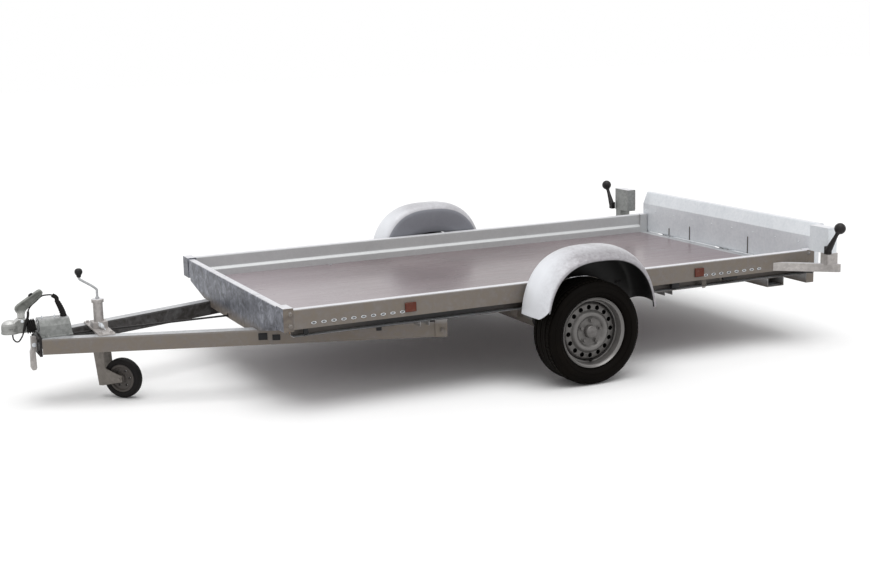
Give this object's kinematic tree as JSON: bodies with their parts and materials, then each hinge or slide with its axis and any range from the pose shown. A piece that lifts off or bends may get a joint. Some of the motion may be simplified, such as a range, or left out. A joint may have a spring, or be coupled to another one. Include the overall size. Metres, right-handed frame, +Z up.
{
  "type": "flatbed trailer",
  "caption": "Braked flatbed road trailer with a low plywood deck, galvanised side rails, drop tailgate, mudguards and a jockey wheel.",
  "frame": {"origin": "middle of the overall box in X and Y, on the ground", "axes": "+X forwards to the coupling, +Y to the left, +Z up"},
  "size_m": [4.277, 2.336, 0.6997],
  "materials": {
    "galvanised": "mottled hot-dip zinc",
    "plywood": "brown phenolic film, glossy",
    "rubber": "matt",
    "tyre": "matt",
    "rim_paint": "silver paint",
    "guard": "pale zinc",
    "black_plastic": "matt",
    "black_steel": "black paint",
    "cast_steel": "zinc-plated steel",
    "amber": "gloss",
    "red_lens": "gloss"
  },
  "bodies": {
    "chassis": {"side_rail_left": "galvanised", "side_rail_right": "galvanised", "front_frame": "galvanised", "rear_frame": "galvanised", "deck_board": "plywood", "front_cross_member": "galvanised", "cross_member_a": "galvanised", "cross_member_b": "galvanised", "rear_cross_tube": "galvanised", "drawbar_left": "galvanised", "drawbar_right": "galvanised", "drawbar_hanger_left": "galvanised", "drawbar_hanger_right": "galvanised", "drawbar_nose_plate": "black_steel", "overrun_housing": "galvanised", "draw_tube": "cast_steel", "bellows": "rubber", "coupling_head": "cast_steel", "coupling_handle": "cast_steel", "nose_stay": "galvanised", "cable_boot": "rubber", "breakaway_cable": "rubber", "brake_rod": "galvanised", "axle_tube": "galvanised", "trailing_arm_left": "cast_steel", "trailing_arm_right": "cast_steel", "mudguard_left": "guard", "mudguard_right": "guard", "outrigger_left": "galvanised", "outrigger_right": "galvanised", "lamp_box_left": "galvanised", "lamp_box_right": "galvanised", "tail_lamp_left": "red_lens", "tail_lamp_right": "red_lens", "latch_lever_left": "black_steel", "latch_lever_right": "black_steel", "side_reflector_left_front": "amber", "side_reflector_left_rear": "amber", "side_reflector_right_front": "amber", "side_reflector_right_rear": "amber", "jockey_tube": "galvanised", "jockey_clamp": "galvanised", "jockey_crank": "galvanised", "jockey_knob": "black_plastic"},
    "wheel_left": {"wheel_hub_left": "cast_steel", "rim_left": "rim_paint", "tyre_left": "tyre"},
    "wheel_right": {"wheel_hub_right": "cast_steel", "rim_right": "rim_paint", "tyre_right": "tyre"},
    "tailgate": {"tailgate": "galvanised"},
    "jockey_fork": {"jockey_fork": "galvanised"},
    "jockey_wheel": {"jockey_rim": "black_plastic", "jockey_tyre": "rubber"}
  },
  "joints": [
    {"name": "wheel_left_spin", "type": "hinge", "parent": "chassis", "child": "wheel_left", "pos_m": [-0.5335, 0.9675, 0.2625], "axis": [0, 1, 0], "continuous": true},
    {"name": "wheel_right_spin", "type": "hinge", "parent": "chassis", "child": "wheel_right", "pos_m": [-0.5335, -0.9675, 0.2625], "axis": [0, 1, 0], "continuous": true},
    {"name": "tailgate_hinge", "type": "hinge", "parent": "chassis", "child": "tailgate", "pos_m": [-2.1195, 0, 0.392], "axis": [0, -1, 0], "range_deg": [0, 180]},
    {"name": "jockey_swivel", "type": "hinge", "parent": "chassis", "child": "jockey_fork", "pos_m": [1.6715, 0, 0.3], "axis": [0, 0, 1], "continuous": true},
    {"name": "jockey_wheel_spin", "type": "hinge", "parent": "jockey_fork", "child": "jockey_wheel", "pos_m": [1.58806, 0.08344, 0.1], "axis": [-0.7071, -0.7071, 0], "continuous": true}
  ]
}
